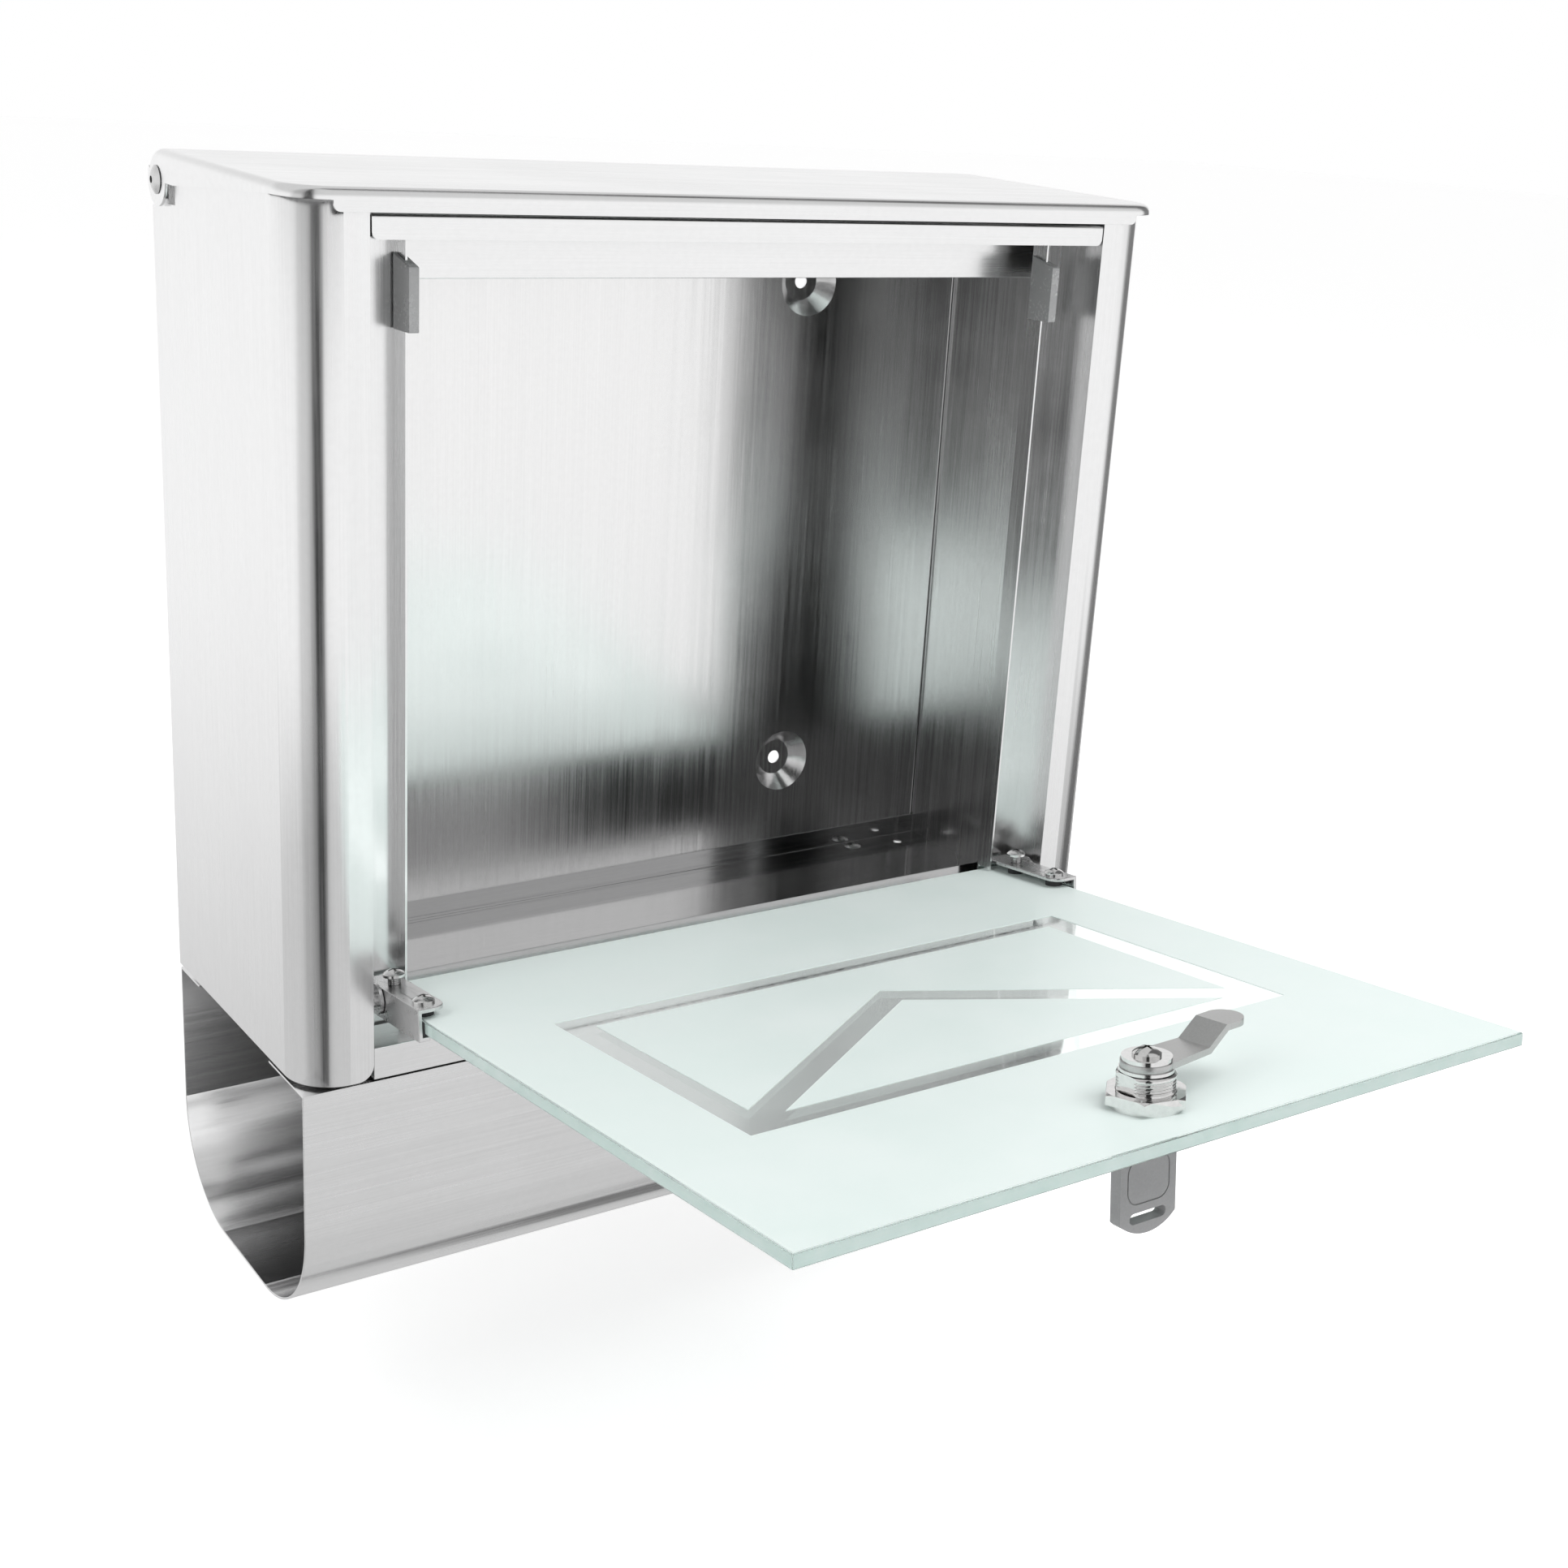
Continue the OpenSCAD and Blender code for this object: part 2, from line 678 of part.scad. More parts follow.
module lock_housing() {
  r = barrel_radius;
  color("silver") on_lock() difference() {
    union() {
      translate([0, 0, head_low]) cylinder(h = 0.8, r1 = 11.2, r2 = 12, $fn = fine);
      translate([0, 0, head_low + 0.8]) cylinder(h = gasket_low - head_low - 0.8, r = 12, $fn = fine);
      intersection() {
        rotate_extrude($fn = fine)
          polygon([[0, gasket_low - 0.5], [r, gasket_low - 0.5], [r, 5.6], [r - 0.45, 6.1],
            [r, 6.6], [r - 0.45, 7.1], [r, 7.6], [r - 0.45, 8.1], [r, 8.6], [r - 0.45, 9.1],
            [r, 9.6], [r, 10.4], [r - 0.5, barrel_top], [0, barrel_top]]);
        block([-8.2, -20, -20], [8.2, 20, 20]);
      }
    }
    translate([0, 0, head_low - 1]) cylinder(h = 30, r = bore_radius, $fn = fine);
  }
}

module lock_washer() {
  color("silver") on_lock() difference() {
    cylinder(h = nut_low, r = 11.9, $fn = fine);
    translate([0, 0, -1]) cylinder(h = 4, r = barrel_radius + 0.2, $fn = fine);
  }
}

module lock_nut() {
  rn = nut_flats / 2 / cos(30);
  color("silver") on_lock() difference() {
    intersection() {
      translate([0, 0, nut_low]) rotate([0, 0, -135]) cylinder(h = nut_top - nut_low, r = rn, $fn = 6);
      union() {
        translate([0, 0, nut_low - 1]) cylinder(h = nut_top - nut_low + 0.3, r = rn + 1, $fn = fine);
        translate([0, 0, nut_top - 0.7]) cylinder(h = 0.7, r1 = rn + 0.05, r2 = rn - 1.2, $fn = fine);
      }
    }
    translate([0, 0, nut_low - 1]) cylinder(h = 8, r = barrel_radius + 0.05, $fn = fine);
  }
}

module lock_plug() {
  color("goldenrod") on_lock() difference() {
    union() {
      translate([0, 0, head_low - 0.3])
        cylinder(h = barrel_top - head_low + 0.3, r = plug_radius, $fn = fine);
      rotate([0, 0, cam_rest]) block([-square_half, -square_half, barrel_top - 0.5],
        [square_half, square_half, cam_top - 0.2]);
    }
    block([-3.9, -1.3, head_low - 2], [3.9, 1.3, 3]);
    translate([0, 0, 6]) cylinder(h = 20, r = 2, $fn = small);
  }
}

// Square hole for the plug's tail
module square_hole() {
  block([-square_half - 0.05, -square_half - 0.05, 0], [square_half + 0.05, square_half + 0.05, 30]);
}

module stop_disc() {
  color("silver") on_cam() difference() {
    translate([0, 0, disc_low]) cylinder(h = cam_low - disc_low, r = 8.5, $fn = fine);
    square_hole();
  }
}

module lock_cam() {
  half = 6.2;
  b1 = 22.5;
  b2 = 30.7;
  k = 0.4;
  color("gainsboro") on_cam() difference() {
    intersection() {
      union() {
        cylinder(h = 30, r = 8.2, $fn = fine);
        linear_extrude(30) polygon([[0, -7.7], [0, 7.7], [b1, half],
          [cam_reach - half, half - 0.05], [cam_reach - half, 0.05 - half], [b1, -half]]);
        translate([cam_reach - half, 0, 0]) cylinder(h = 30, r = half, $fn = fine);
      }
      rotate([90, 0, 0]) translate([0, 0, -15]) linear_extrude(30)
        polygon([[-9, cam_low], [b1 + k, cam_low], [b2 + k, cam_low + cam_rise],
          [cam_reach + 1, cam_low + cam_rise], [cam_reach + 1, cam_top + cam_rise],
          [b2 - k, cam_top + cam_rise], [b1 - k, cam_top], [-9, cam_top]]);
    }
    square_hole();
  }
}

module cam_washer() {
  color("silver") on_lock() difference() {
    translate([0, 0, cam_top]) cylinder(h = washer_top - cam_top, r = 7.8, $fn = fine);
    cylinder(h = 30, r = 2.2, $fn = small);
  }
}

module cam_screw() {
  color("silver") on_lock() difference() {
    union() {
      translate([0, 0, 6.5]) cylinder(h = washer_top - 6.5 + 0.5, r = 1.95, $fn = small);
      translate([0, 0, washer_top]) cylinder(h = 0.8, r = 4.5, $fn = small);
      translate([0, 0, washer_top + 0.8]) dome(4.5, 2);
    }
    cross_slot(washer_top + 2.8, 4.8, 1.4);
  }
}

module key_blade() {
  color("silver") on_lock() block([-3.6, -1, bow_top - 7], [3.6, 1, 2]);
}

// Long slot or rounded bar in 2D
module rounded_bar(half, low, high, r) {
  translate([-half + r, low]) square([2 * (half - r), high - low]);
  translate([-half, low + r]) square([2 * half, high - low - 2 * r]);
  for (x = [-half + r, half - r]) for (y = [low + r, high - r])
    translate([x, y]) circle(r = r, $fn = small);
}

module key_bow() {
  hb = bow_thickness / 2;
  big = 16.4;
  color("dimgray") on_lock() difference() {
    rotate([90, 0, 0]) translate([0, 0, -hb]) linear_extrude(bow_thickness) difference() {
      intersection() {
        translate([-bow_width / 2, bow_low]) square([bow_width, bow_length]);
        translate([0, bow_low + big]) circle(r = big, $fn = fine);
      }
      rounded_bar(7.5, bow_low + 3.8, bow_low + 7.4, 1.7);
    }
    block([-3.6, -1, bow_top - 7], [3.6, 1, bow_top + 5]);
    // inset outline on both faces
    for (s = [-1, 1]) translate([0, s * hb, 0]) rotate([90, 0, 0]) translate([0, 0, -0.35])
      linear_extrude(0.7) difference() {
        rounded_bar(8.8, bow_low + 10, bow_top - 3.4, 4.6);
        rounded_bar(8.3, bow_low + 10.5, bow_top - 3.9, 4.1);
      }
  }
}

side_panel_left();
side_panel_right();
back_panel();
floor_pan();
upper_front_rail();
slot_baffle();
lower_front_rail();
edge_clip_left();
edge_clip_right();
newspaper_holder();
holder_spacers();
holder_rivets();
lid_pivot_rivets();
lid_pivot_washers();
door_pivot_pins();
lid();
door_glass();
satin_layer_film();
hinge_bracket_left();
hinge_bracket_right();
bracket_liners();
clamp_pads();
clamp_screws();
lock_gasket();
lock_housing();
lock_washer();
lock_nut();
lock_plug();
stop_disc();
lock_cam();
cam_washer();
cam_screw();
key_blade();
key_bow();
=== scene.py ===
import json
import math

import bmesh
import bpy
from mathutils import Matrix, Vector


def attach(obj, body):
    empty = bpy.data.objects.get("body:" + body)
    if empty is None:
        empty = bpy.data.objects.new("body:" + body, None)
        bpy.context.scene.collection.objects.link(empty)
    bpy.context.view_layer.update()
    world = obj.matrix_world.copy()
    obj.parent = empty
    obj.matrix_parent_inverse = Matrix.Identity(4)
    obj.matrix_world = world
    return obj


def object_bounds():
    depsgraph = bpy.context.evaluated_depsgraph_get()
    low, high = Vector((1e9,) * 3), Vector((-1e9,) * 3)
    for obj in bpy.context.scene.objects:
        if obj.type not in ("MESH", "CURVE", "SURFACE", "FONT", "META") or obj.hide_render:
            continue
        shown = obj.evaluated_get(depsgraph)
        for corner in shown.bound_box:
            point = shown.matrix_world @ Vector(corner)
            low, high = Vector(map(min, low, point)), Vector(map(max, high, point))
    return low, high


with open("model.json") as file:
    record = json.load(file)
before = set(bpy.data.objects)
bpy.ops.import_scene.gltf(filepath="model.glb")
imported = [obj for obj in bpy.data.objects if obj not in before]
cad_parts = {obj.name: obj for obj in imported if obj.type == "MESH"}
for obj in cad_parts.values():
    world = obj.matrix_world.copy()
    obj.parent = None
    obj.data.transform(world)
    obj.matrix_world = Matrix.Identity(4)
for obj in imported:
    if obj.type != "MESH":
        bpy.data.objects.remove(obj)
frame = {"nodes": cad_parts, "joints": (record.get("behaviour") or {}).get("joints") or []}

CAD_BOX = [list(map(float, corner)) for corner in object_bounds()]
NODES = frame["nodes"]
MM = 0.001
WHITE = (1, 1, 1, 1)


# ---------------------------------------------------------------- node trees

class NodeTree:
    """Short calls that build the node tree of a material or a world."""

    def __init__(self, owner):
        owner.use_nodes = True
        self.tree = owner.node_tree
        self.tree.nodes.clear()

    def add(self, kind, **values):
        node = self.tree.nodes.new(kind)
        for key, value in values.items():
            setattr(node, key, value)
        return node

    def link(self, a, b):
        self.tree.links.new(a, b)

    def math(self, operation, a, b):
        """Result of an operation on two sockets or numbers."""
        node = self.add("ShaderNodeMath", operation=operation)
        for socket, value in zip(node.inputs, (a, b)):
            if isinstance(value, (int, float)):
                socket.default_value = value
            else:
                self.link(value, socket)
        return node.outputs[0]

    def remap(self, value, source, target, interpolation="LINEAR"):
        """Takes a value from one (start, end) range to another."""
        node = self.add("ShaderNodeMapRange", interpolation_type=interpolation)
        keys = ("From Min", "From Max", "To Min", "To Max")
        for key, number in zip(keys, (*source, *target)):
            node.inputs[key].default_value = number
        self.link(value, node.inputs["Value"])
        return node.outputs[0]


# ---------------------------------------------------------------- materials

NOISE_RANGE = (0.3, 0.7)  # where most of a noise texture's values lie
GLASS_IOR = 1.5
PLASTIC_IOR = 1.5


class Finish(NodeTree):
    """A Principled material with helpers for grain, tint and relief."""

    def __init__(self, name, color, metallic, roughness):
        self.mat = bpy.data.materials.new(name)
        super().__init__(self.mat)
        self.bsdf = self.add("ShaderNodeBsdfPrincipled")
        self.link(self.bsdf.outputs[0], self.add("ShaderNodeOutputMaterial").inputs[0])
        self.bsdf.inputs["Base Color"].default_value = (*color, 1)
        self.bsdf.inputs["Metallic"].default_value = metallic
        self.bsdf.inputs["Roughness"].default_value = roughness
        self.coords = self.add("ShaderNodeTexCoord").outputs["Object"]
        self.normal = None

    def noise(self, scale, detail, roughness):
        """Noise in metres: scale is one number or one per axis, in cycles a metre."""
        if isinstance(scale, (int, float)):
            scale = (scale,) * 3
        mapping = self.add("ShaderNodeMapping")
        mapping.inputs["Scale"].default_value = scale
        self.link(self.coords, mapping.inputs["Vector"])
        tex = self.add("ShaderNodeTexNoise")
        tex.inputs["Scale"].default_value = 1.0
        tex.inputs["Detail"].default_value = detail
        tex.inputs["Roughness"].default_value = roughness
        self.link(mapping.outputs[0], tex.inputs["Vector"])
        return tex.outputs["Fac"]

    def span(self, noise, low, high):
        """Spreads a noise value over low..high."""
        return self.remap(noise, NOISE_RANGE, (low, high))

    def rough(self, value):
        self.link(value, self.bsdf.inputs["Roughness"])

    def tint(self, fac, dark, light):
        """Base colour between two colours."""
        node = self.add("ShaderNodeMix", data_type="RGBA")
        factor, first, second = (node.inputs[k] for k in (0, 6, 7))  # the colour sockets
        first.default_value = (*dark, 1)
        second.default_value = (*light, 1)
        self.link(fac, factor)
        self.link(node.outputs[2], self.bsdf.inputs["Base Color"])

    def bump(self, height, distance, strength=1.0):
        """Relief in metres, laid over any relief that was added before."""
        node = self.add("ShaderNodeBump")
        node.inputs["Distance"].default_value = distance
        node.inputs["Strength"].default_value = strength
        self.link(height, node.inputs["Height"])
        if self.normal is not None:
            self.link(self.normal, node.inputs["Normal"])
        self.normal = node.outputs[0]
        self.link(self.normal, self.bsdf.inputs["Normal"])

    def grain(self, grit, clouds, roughness, cloud_wear, grit_wear, grit_share, shades, depth):
        """Even grain under soft clouds, in roughness, in colour and as relief."""
        wear = self.math("ADD", self.span(grit, *grit_wear), roughness)
        self.rough(self.math("ADD", self.span(clouds, *cloud_wear), wear))
        shade = self.math("ADD", self.span(grit, 0.0, grit_share),
                          self.span(clouds, 0.0, 1 - grit_share))
        self.tint(shade, *shades)
        self.bump(grit, depth)


def darker(color, factor):
    return tuple(channel * factor for channel in color)


def brushed_sheet(name, grain, color=(0.945, 0.945, 0.947), roughness=0.22, depth=1.0):
    """Stainless sheet with fine lines along one axis, faint clouds and rolling waves."""
    f = Finish(name, color, 1.0, roughness)
    lines = f.noise(tuple(14.0 if axis == grain else 1500.0 for axis in "xyz"), 2.0, 0.6)
    bands = f.noise(tuple(4.0 if axis == grain else 330.0 for axis in "xyz"), 2.0, 0.5)
    clouds = f.noise(13.0, 4.0, 0.6)
    specks = f.noise(420.0, 2.0, 0.5)
    waves = f.noise(9.0, 1.0, 0.4)
    wear = f.math("ADD", f.span(lines, -0.04, 0.04), f.span(bands, -0.02, 0.02))
    wear = f.math("ADD", wear, f.span(clouds, -0.03, 0.04))
    f.rough(f.math("ADD", wear, roughness))
    shade = f.math("ADD", f.span(lines, 0.0, 0.45), f.span(clouds, 0.0, 0.35))
    shade = f.math("ADD", shade, f.span(specks, 0.0, 0.2))
    f.tint(shade, darker(color, 0.9), color)
    f.bump(lines, 0.006 * MM * depth)
    f.bump(bands, 0.006 * MM * depth)
    f.bump(waves, 0.5 * MM * depth, 0.3)
    return f.mat


def plated(name, color, roughness, grain=700.0, depth=0.012 * MM):
    """Polished or cast metal with a fine even grain."""
    f = Finish(name, color, 1.0, roughness)
    f.grain(f.noise(grain, 3.0, 0.6), f.noise(60.0, 3.0, 0.55), roughness,
            cloud_wear=(-0.04, 0.06), grit_wear=(-0.03, 0.05), grit_share=0.6,
            shades=(darker(color, 0.84), color), depth=depth)
    return f.mat


def moulded(name, color, roughness, transmission=0.0, grain=900.0, depth=0.02 * MM):
    """Moulded plastic or rubber with a fine eroded skin."""
    f = Finish(name, color, 0.0, roughness)
    f.bsdf.inputs["IOR"].default_value = PLASTIC_IOR
    f.bsdf.inputs["Transmission Weight"].default_value = transmission
    f.grain(f.noise(grain, 3.0, 0.6), f.noise(90.0, 3.0, 0.55), roughness,
            cloud_wear=(-0.05, 0.07), grit_wear=(-0.04, 0.04), grit_share=0.45,
            shades=(darker(color, 0.82), color), depth=depth)
    return f.mat


def clear_glass():
    """Green-tinted float glass with hardly visible waviness and dust."""
    f = Finish("door_glass_clear", (0.93, 0.985, 0.97), 0.0, 0.02)
    f.bsdf.inputs["IOR"].default_value = GLASS_IOR
    f.bsdf.inputs["Transmission Weight"].default_value = 1.0
    f.rough(f.span(f.noise(500.0, 2.0, 0.5), 0.01, 0.06))
    f.tint(f.span(f.noise(20.0, 2.0, 0.5), 0.0, 1.0), (0.91, 0.975, 0.955), (0.95, 0.99, 0.98))
    f.bump(f.noise(6.0, 1.0, 0.4), 0.2 * MM, 0.2)
    return f.mat


def satin_glass():
    """The etched inner face: a pale mint veil with a fine even tooth."""
    roughness = 0.42
    f = Finish("door_satin", (0.86, 0.955, 0.93), 0.0, roughness)
    f.bsdf.inputs["IOR"].default_value = GLASS_IOR
    f.bsdf.inputs["Transmission Weight"].default_value = 0.12
    f.grain(f.noise(2400.0, 3.0, 0.6), f.noise(24.0, 3.0, 0.55), roughness,
            cloud_wear=(-0.04, 0.05), grit_wear=(-0.05, 0.05), grit_share=0.35,
            shades=((0.83, 0.94, 0.91), (0.89, 0.97, 0.95)), depth=0.01 * MM)
    return f.mat


def ground_glass():
    """The ground edge of the pane: pale mint, dull and slightly uneven."""
    roughness = 0.5
    f = Finish("door_glass_ground", (0.78, 0.88, 0.85), 0.0, roughness)
    f.bsdf.inputs["IOR"].default_value = GLASS_IOR
    grind = f.noise((60.0, 60.0, 2500.0), 3.0, 0.6)
    clouds = f.noise(120.0, 3.0, 0.55)
    f.rough(f.math("ADD", f.span(grind, -0.06, 0.06), roughness))
    f.tint(f.math("ADD", f.span(grind, 0.0, 0.3), f.span(clouds, 0.0, 0.7)),
           (0.78, 0.90, 0.87), (0.88, 0.95, 0.935))
    f.bump(grind, 0.01 * MM)
    return f.mat


SHEET_Z = brushed_sheet("steel_upright_grain", "z")
SHEET_X = brushed_sheet("steel_level_grain", "x", depth=0.4)
LINING = brushed_sheet("steel_lining", "z", (0.945, 0.942, 0.942), 0.2, 0.2)
TRAY = brushed_sheet("steel_tray", "x", (0.60, 0.60, 0.602), 0.12, 0.6)
SCREWS = plated("screw_steel", (0.88, 0.88, 0.875), 0.15)
THREADS = plated("screw_threads", (0.34, 0.34, 0.34), 0.3)
BRIGHT = plated("steel_bright", (0.76, 0.76, 0.76), 0.27)
NICKEL = plated("lock_nickel", (0.84, 0.836, 0.83), 0.09, 500.0, 0.004 * MM)
CAST = plated("cam_satin_zinc", (0.60, 0.60, 0.595), 0.34, 1300.0, 0.04 * MM)
GLASS = clear_glass()
SATIN = satin_glass()
GROUND = ground_glass()
CLIP = moulded("clip_soft_grey", (0.38, 0.383, 0.386), 0.24, 0.2)
RUBBER = moulded("rubber_black", (0.035, 0.035, 0.037), 0.62)
BOW = moulded("key_grey", (0.30, 0.30, 0.305), 0.42, 0.0, 1100.0, 0.03 * MM)

LOOKS = {
    "side_panel_left": SHEET_Z, "side_panel_right": SHEET_Z, "back_panel": LINING,
    "floor_pan": TRAY, "upper_front_rail": SHEET_X, "slot_baffle": SHEET_X,
    "lower_front_rail": SHEET_X, "newspaper_holder": SHEET_X, "lid": SHEET_X,
    "edge_clip_left": CLIP, "edge_clip_right": CLIP, "holder_spacers": CLIP,
    "holder_rivets": BRIGHT, "lid_pivot_rivets": BRIGHT, "lid_pivot_washers": CLIP,
    "door_pivot_pins": BRIGHT, "door_glass": GLASS, "satin_layer_film": SATIN,
    "hinge_bracket_left": BRIGHT, "hinge_bracket_right": BRIGHT, "bracket_liners": RUBBER,
    "clamp_pads": RUBBER, "clamp_screws": SCREWS, "lock_gasket": RUBBER,
    "lock_housing": NICKEL, "lock_washer": NICKEL, "lock_nut": NICKEL, "lock_plug": NICKEL,
    "stop_disc": NICKEL, "lock_cam": CAST, "cam_washer": NICKEL, "cam_screw": NICKEL,
    "key_blade": NICKEL, "key_bow": BOW,
}

for name, look in LOOKS.items():
    piece = NODES[name]
    piece.data.materials.clear()
    piece.data.materials.append(look)


# ---------------------------------------------------------------- softened edges

WELD_REACH = 0.004 * MM   # joins the split corners of the CAD meshes
SHARP_ANGLE = math.radians(38)
FILM_BITE = 0.04 * MM

EDGE_BEVELS_MM = {
    "side_panel_left": 0.28, "side_panel_right": 0.28, "upper_front_rail": 0.3,
    "lower_front_rail": 0.3, "slot_baffle": 0.3, "newspaper_holder": 0.18, "floor_pan": 0.18,
    "lid": 0.2, "edge_clip_left": 0.35, "edge_clip_right": 0.35, "hinge_bracket_left": 0.3,
    "hinge_bracket_right": 0.3, "door_glass": 0.35, "lock_nut": 0.2, "lock_cam": 0.35,
    "key_bow": 0.35, "key_blade": 0.15, "lock_housing": 0.12,
}


def weld(piece):
    piece.modifiers.new("join", "WELD").merge_threshold = WELD_REACH


for name, width in EDGE_BEVELS_MM.items():
    weld(NODES[name])
    bevel = NODES[name].modifiers.new("soft_edges", "BEVEL")
    bevel.width = width * MM
    bevel.segments = 2
    bevel.limit_method = "ANGLE"
    bevel.angle_limit = SHARP_ANGLE
    bevel.harden_normals = True
    bevel.use_clamp_overlap = True

# the frosted face bites into the clear glass, so that no two faces share one plane
film = NODES["satin_layer_film"]
weld(film)
bite = film.modifiers.new("bite", "DISPLACE")
bite.strength = FILM_BITE
bite.mid_level = 0.0


# ---------------------------------------------------------------- added pieces

EDGE_SKIN = 0.03 * MM     # clear glass left outside the ground edge
EDGE_DEPTH = 0.18 * MM    # inner side of the ground edge, from the pane's edge
EDGE_BARE = 0.4 * MM      # kept clear at the corners and at both faces

THREAD_PITCH = 0.62 * MM
THREAD_RIDGE = 0.32 * MM  # how far a turn stands out from the shank
THREAD_WIDTH = 0.28 * MM
THREAD_START = 0.35 * MM  # above the bracket
THREAD_END = 0.3 * MM     # below the screw's head
HEAD_RIM = 0.9            # share of a screw's largest radius that only its head reaches
HEAD_CLEAR = 0.2 * MM     # this far below the head there is only shank

lock_axis = next(j for j in frame["joints"] if j["name"] == "lock_turn")["axis"]
door_tilt = math.atan2(-lock_axis[1], -lock_axis[2])
door_turn = Matrix.Rotation(-door_tilt, 4, "X")


def in_door_frame(name):
    """A node's corners, turned back by the door's tilt so that the pane lies level."""
    level = door_turn.inverted()
    return [level @ v.co for v in NODES[name].data.vertices]


def middle(values):
    return (min(values) + max(values)) / 2


def new_object(name, bm, look):
    """Puts a finished bmesh into the scene as an object with one material."""
    mesh = bpy.data.meshes.new(name)
    bm.to_mesh(mesh)
    bm.free()
    mesh.materials.append(look)
    piece = bpy.data.objects.new(name, mesh)
    bpy.context.scene.collection.objects.link(piece)
    return piece


def ground_edges(name, look):
    """Thin plates just inside the four edges of the pane."""
    corners = in_door_frame("door_glass")
    low, high = (Vector([pick(p[k] for p in corners) for k in range(3)]) for pick in (min, max))
    bare = Vector((EDGE_BARE,) * 3)
    bm = bmesh.new()
    for axis in (1, 0):
        for near, far in ((low[axis] + EDGE_SKIN, low[axis] + EDGE_DEPTH),
                          (high[axis] - EDGE_DEPTH, high[axis] - EDGE_SKIN)):
            start, end = low + bare, high - bare
            start[axis], end[axis] = near, far
            place = Matrix.Translation((start + end) / 2) @ Matrix.Diagonal((*(end - start), 1))
            bmesh.ops.create_cube(bm, size=1.0, matrix=door_turn @ place)
    return new_object(name, bm, look)


def thread_turns(name, look):
    """Thread turns on the bare shanks of the clamp screws, between their heads and the brackets."""
    shelf = max(p.z for p in in_door_frame("hinge_bracket_right"))
    screws = in_door_frame("clamp_screws")
    row_split = middle([p.y for p in screws])
    bm = bmesh.new()
    for right in (False, True):
        for rear in (False, True):
            one = [p for p in screws if (p.x > 0) == right and (p.y > row_split) == rear]
            x, y = middle([p.x for p in one]), middle([p.y for p in one])
            reach = [(math.hypot(p.x - x, p.y - y), p.z) for p in one]
            rim = max(r for r, z in reach) * HEAD_RIM
            head = min(z for r, z in reach if r > rim)
            shank = max(r for r, z in reach if z < head - HEAD_CLEAR)
            place = shelf + THREAD_START
            while place < head - THREAD_END:
                bmesh.ops.create_cone(bm, cap_ends=True, segments=32, depth=THREAD_WIDTH,
                                      radius1=shank + THREAD_RIDGE, radius2=shank + THREAD_RIDGE,
                                      matrix=door_turn @ Matrix.Translation((x, y, place)))
                place += THREAD_PITCH
    return new_object(name, bm, look)


edges = ground_edges("glass_ground_edges", GROUND)
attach(edges, "door")

threads = thread_turns("clamp_screw_threads", THREADS)
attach(threads, "door")


# ---------------------------------------------------------------- floor

FLOOR_DROP = 0.075  # below the lowest point of the object
FLOOR_GLOW = 0.42   # brings the paper up to the white behind it

paper = Finish("pale_paper", (0.96, 0.96, 0.96), 0.0, 0.9)
paper.bsdf.inputs["Specular IOR Level"].default_value = 0.1
paper.bsdf.inputs["Emission Color"].default_value = WHITE
paper.bsdf.inputs["Emission Strength"].default_value = FLOOR_GLOW

floor_bm = bmesh.new()
bmesh.ops.create_grid(floor_bm, x_segments=8, y_segments=8, size=14.0)
floor = new_object("studio_floor", floor_bm, paper.mat)
floor.location = (0, 0, CAD_BOX[0][2] - FLOOR_DROP)
floor.visible_glossy = False  # the metal mirrors the world instead


# ---------------------------------------------------------------- world

# Seen in reflections, the world is a white studio that is darker low down and overhead,
# with dark upright strips. Seen by the camera, it is plain white.
world = bpy.data.worlds.new("studio")
bpy.context.scene.world = world
sky = NodeTree(world)

direction = sky.add("ShaderNodeTexCoord").outputs["Generated"]
full = sky.add("ShaderNodeSeparateXYZ")
sky.link(direction, full.inputs[0])
ray_height = full.outputs[2]

flat = sky.add("ShaderNodeVectorMath", operation="MULTIPLY")
flat.inputs[1].default_value = (1, 1, 0)
sky.link(direction, flat.inputs[0])
unit = sky.add("ShaderNodeVectorMath", operation="NORMALIZE")
sky.link(flat.outputs[0], unit.inputs[0])
level = sky.add("ShaderNodeSeparateXYZ")
sky.link(unit.outputs[0], level.inputs[0])
ray_x, ray_y = level.outputs[0], level.outputs[1]


def strip(turn, half, soft, depth):
    """Brightness left by a dark upright strip at a turn from -Y towards -X, in degrees."""
    u, v = -math.sin(math.radians(turn)), -math.cos(math.radians(turn))
    facing = sky.math("ADD", sky.math("MULTIPLY", ray_x, u), sky.math("MULTIPLY", ray_y, v))
    rim, core = math.cos(math.radians(half + soft)), math.cos(math.radians(half))
    dark = sky.remap(facing, (rim, core), (0.0, depth), "SMOOTHSTEP")
    return sky.math("SUBTRACT", 1.0, dark)


# turn, half width and soft edge in degrees, and how much light the strip takes away
DARK_STRIPS = ((37, 8, 7, 0.96), (62, 12, 10, 0.32), (-95, 14, 12, 0.8))

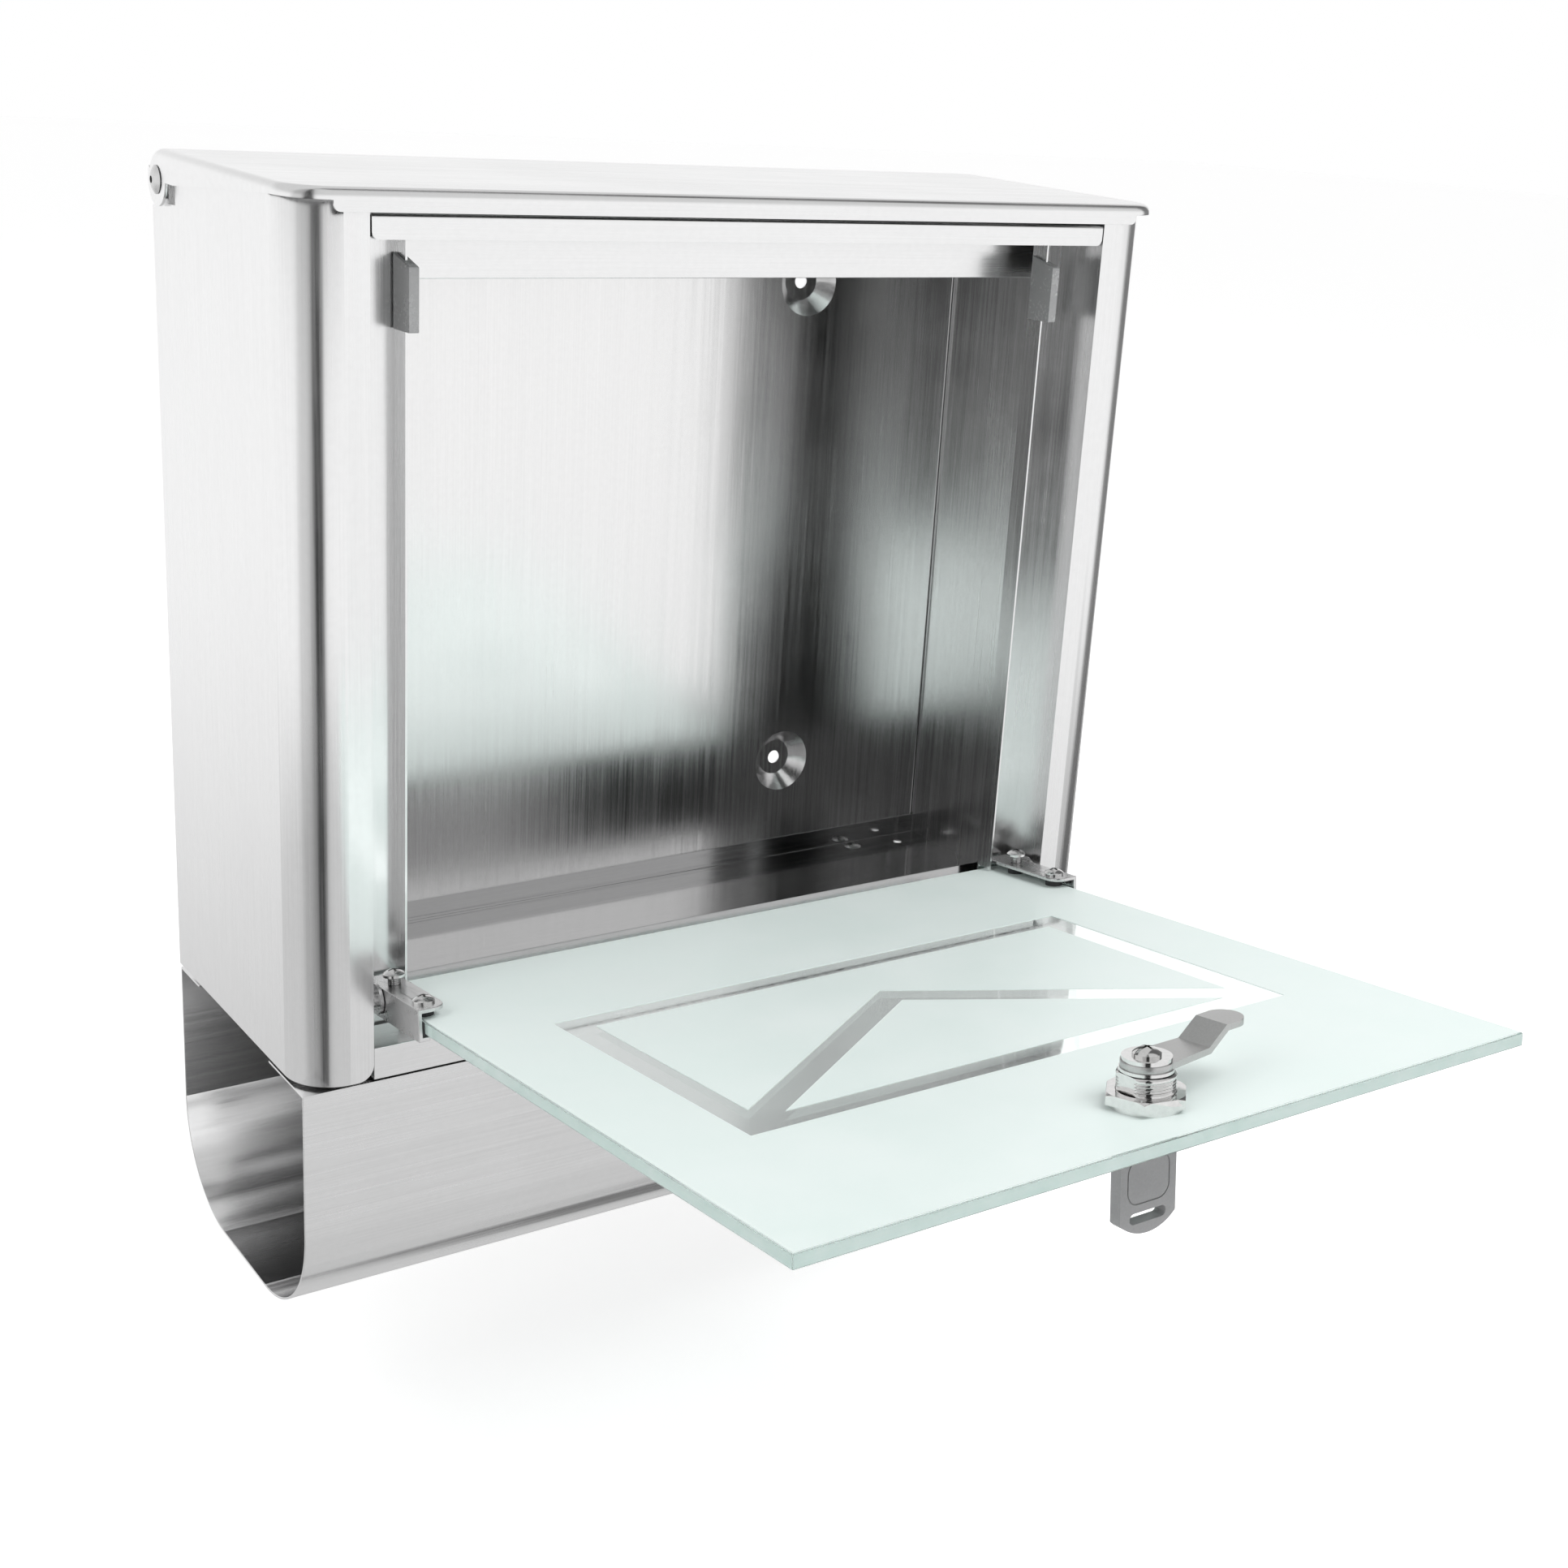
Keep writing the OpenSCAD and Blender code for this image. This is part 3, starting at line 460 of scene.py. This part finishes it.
glow = sky.math("MULTIPLY",
                sky.remap(ray_height, (-0.5, -0.2), (0.62, 0.99), "SMOOTHSTEP"),
                sky.remap(ray_height, (0.12, 0.62), (1.0, 0.68), "SMOOTHSTEP"))
for dark_strip in DARK_STRIPS:
    glow = sky.math("MULTIPLY", glow, strip(*dark_strip))

studio = sky.add("ShaderNodeBackground")
studio.inputs["Color"].default_value = WHITE
sky.link(glow, studio.inputs["Strength"])
plain = sky.add("ShaderNodeBackground")
plain.inputs["Color"].default_value = WHITE
plain.inputs["Strength"].default_value = 1.0
mix = sky.add("ShaderNodeMixShader")
sky.link(sky.add("ShaderNodeLightPath").outputs["Is Camera Ray"], mix.inputs[0])
sky.link(studio.outputs[0], mix.inputs[1])
sky.link(plain.outputs[0], mix.inputs[2])
sky.link(mix.outputs[0], sky.add("ShaderNodeOutputWorld").inputs[0])


# ---------------------------------------------------------------- lights

def softbox(name, place, aim, size, power):
    """Area light that lights the matt surfaces but isn't mirrored in the metal."""
    light = bpy.data.lights.new(name, "AREA")
    light.shape = "RECTANGLE"
    light.size, light.size_y = size
    light.energy = power
    lamp = bpy.data.objects.new(name, light)
    lamp.location = place
    lamp.rotation_euler = (Vector(aim) - Vector(place)).to_track_quat("-Z", "Y").to_euler()
    lamp.visible_glossy = False
    bpy.context.scene.collection.objects.link(lamp)


CASING_MIDDLE = (0, -0.1, 0)
softbox("key_box", (0.5, -0.9, 1.5), CASING_MIDDLE, (1.2, 1.2), 21)
softbox("side_box", (-1.4, -0.5, 0.8), CASING_MIDDLE, (0.9, 1.2), 7)


# ---------------------------------------------------------------- camera

# the photograph's camera, solved from the edges of the casing
CAMERA_PLACE = (-0.4295, -0.7705, 0.19)
CAMERA_TURN = (71.587, -3.244, -33.792)  # degrees
CAMERA_LENS = 48.71                      # mm, on a 36 mm sensor

camera_data = bpy.data.cameras.new("photo_camera")
camera_data.sensor_width = 36.0
camera_data.lens = CAMERA_LENS
camera_data.clip_end = 60.0
camera = bpy.data.objects.new("photo_camera", camera_data)
camera.location = CAMERA_PLACE
camera.rotation_euler = tuple(math.radians(a) for a in CAMERA_TURN)
bpy.context.scene.collection.objects.link(camera)
bpy.context.scene.camera = camera
bpy.context.scene.view_settings.view_transform = "Standard"
